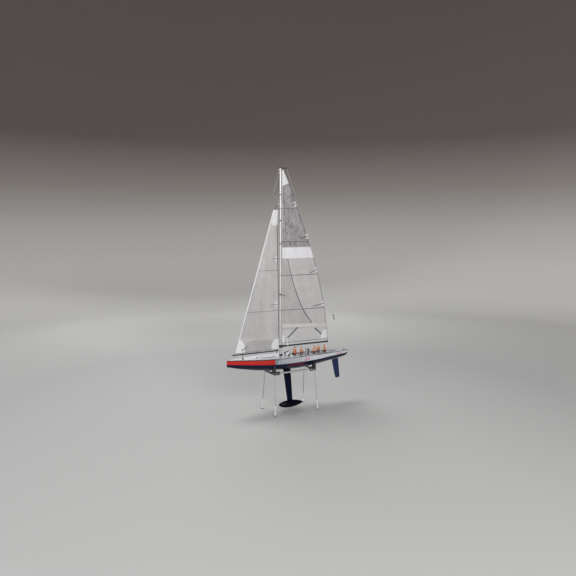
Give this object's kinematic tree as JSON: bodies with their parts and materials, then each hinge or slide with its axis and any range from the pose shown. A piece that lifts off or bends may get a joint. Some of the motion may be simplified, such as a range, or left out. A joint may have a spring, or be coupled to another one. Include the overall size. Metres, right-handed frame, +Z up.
{
  "type": "radio controlled racing yacht",
  "caption": "Radio-controlled racing yacht with fin keel and bulb, swinging main and jib booms, turning rudder and crew figures, lifting off its four-legged display stand.",
  "frame": {"origin": "on the floor under the middle of the hull's length, at the centre of the overall box's base", "axes": "+X towards the bow, +Y to port, +Z up"},
  "size_m": [0.612, 0.136, 1.0608],
  "materials": {
    "black_plastic": "satin moulded black plastic",
    "mast_aluminium": "satin anodised tube",
    "polished_steel": "bright steel rod and wire",
    "foot_plastic": "pale translucent plastic with a dark base",
    "hull_paint": "gloss, red fore topsides, silver-white aft, navy bottom",
    "deck_plastic": "pale lavender-white moulding",
    "navy_paint": "dark navy gloss paint",
    "rudder_blue": "navy blue moulded plastic",
    "fin_navy": "dark navy moulded plastic",
    "sail_film": "thin translucent grey ripstop film",
    "crew_paint": "hand-painted orange and brown figures",
    "grey_plastic": "plain grey moulding",
    "cord": "thin braided line"
  },
  "bodies": {
    "stand": {"stand_cradle_fore": "black_plastic", "stand_cradle_aft": "black_plastic", "stand_tube_port": "mast_aluminium", "stand_tube_starboard": "mast_aluminium", "stand_leg_fore_port": "polished_steel", "stand_foot_fore_port": "foot_plastic", "stand_leg_fore_starboard": "polished_steel", "stand_foot_fore_starboard": "foot_plastic", "stand_leg_aft_port": "polished_steel", "stand_foot_aft_port": "foot_plastic", "stand_leg_aft_starboard": "polished_steel", "stand_foot_aft_starboard": "foot_plastic"},
    "hull": {"hull_shell": "hull_paint", "deck": "deck_plastic", "keel_fin": "fin_navy", "keel_bulb": "navy_paint", "rudder_tube": "mast_aluminium", "mast_step": "black_plastic", "mast": "mast_aluminium", "masthead_crane": "black_plastic", "jumper_strut": "polished_steel", "jumper_stay": "polished_steel", "spreader_lower": "mast_aluminium", "spreader_upper": "mast_aluminium", "shroud_port": "polished_steel", "shroud_starboard": "polished_steel", "chainplate_port": "polished_steel", "chainplate_starboard": "polished_steel", "backstay": "polished_steel", "backstay_adjuster": "black_plastic", "jib_pivot_eye": "black_plastic", "mainsheet_post": "grey_plastic", "winch_pedestal": "black_plastic", "crew_1": "crew_paint", "crew_2": "crew_paint", "crew_3": "crew_paint", "crew_4": "crew_paint", "crew_5": "crew_paint", "crew_6": "crew_paint", "radio_tray": "grey_plastic", "battery_box": "black_plastic", "receiver": "black_plastic", "sail_servo": "black_plastic", "rudder_servo": "black_plastic", "main_sheet": "cord", "jib_sheet": "cord"},
    "main_rig": {"gooseneck": "black_plastic", "main_boom": "black_plastic", "vang": "black_plastic", "mainsail": "sail_film"},
    "jib_rig": {"jib_boom": "black_plastic", "jib_swivel": "black_plastic", "jib_sail": "sail_film"},
    "rudder": {"rudder": "rudder_blue", "tiller_arm": "black_plastic"},
    "rudder_horn": {"rudder_horn": "black_plastic"},
    "pushrod": {"rudder_pushrod": "polished_steel"},
    "sail_arm": {"sail_arm": "black_plastic"},
    "hatch": {"hatch_cover": "deck_plastic"},
    "switch": {"switch_lever": "black_plastic"}
  },
  "joints": [
    {"name": "hull_lift", "type": "slide", "parent": "stand", "child": "hull", "axis": [0, 0, 1], "range_m": [0, 0.24]},
    {"name": "main_boom_swing", "type": "hinge", "parent": "hull", "child": "main_rig", "pos_m": [0.05, 0, 0.288], "axis": [0, 0, 1], "range_deg": [-60, 60], "deforming": ["main_sheet"]},
    {"name": "jib_swing", "type": "hinge", "parent": "hull", "child": "jib_rig", "pos_m": [0.232, 0, 0.257], "axis": [-0.2503, 0, 0.9682], "range_deg": [-60, 60], "deforming": ["jib_sheet"]},
    {"name": "rudder_turn", "type": "hinge", "parent": "hull", "child": "rudder", "pos_m": [-0.232, 0, 0.2], "axis": [0, 0, 1], "range_deg": [-35, 35]},
    {"name": "rudder_horn_turn", "type": "hinge", "parent": "hull", "child": "rudder_horn", "pos_m": [-0.153, 0, 0.2277], "axis": [0, 0, 1], "range_deg": [-35.5, 35.5]},
    {"name": "pushrod_slide", "type": "slide", "parent": "hull", "child": "pushrod", "axis": [-1, 0, 0], "range_m": [-0.0076, 0.0076]},
    {"name": "sail_arm_turn", "type": "hinge", "parent": "hull", "child": "sail_arm", "pos_m": [-0.05, 0, 0.2288], "axis": [0, 0, 1], "range_deg": [0, 100]},
    {"name": "hatch_lift", "type": "slide", "parent": "hull", "child": "hatch", "axis": [0, 0, 1], "range_m": [0, 0.01]},
    {"name": "switch_slide", "type": "slide", "parent": "hull", "child": "switch", "axis": [1, 0, 0], "range_m": [0, 0.004]}
  ],
  "couplings": [
    {"joint": "rudder_horn_turn", "follows": "rudder_turn", "ratio": 1},
    {"joint": "pushrod_slide", "follows": "rudder_turn", "m_per_rad": 0.012}
  ]
}
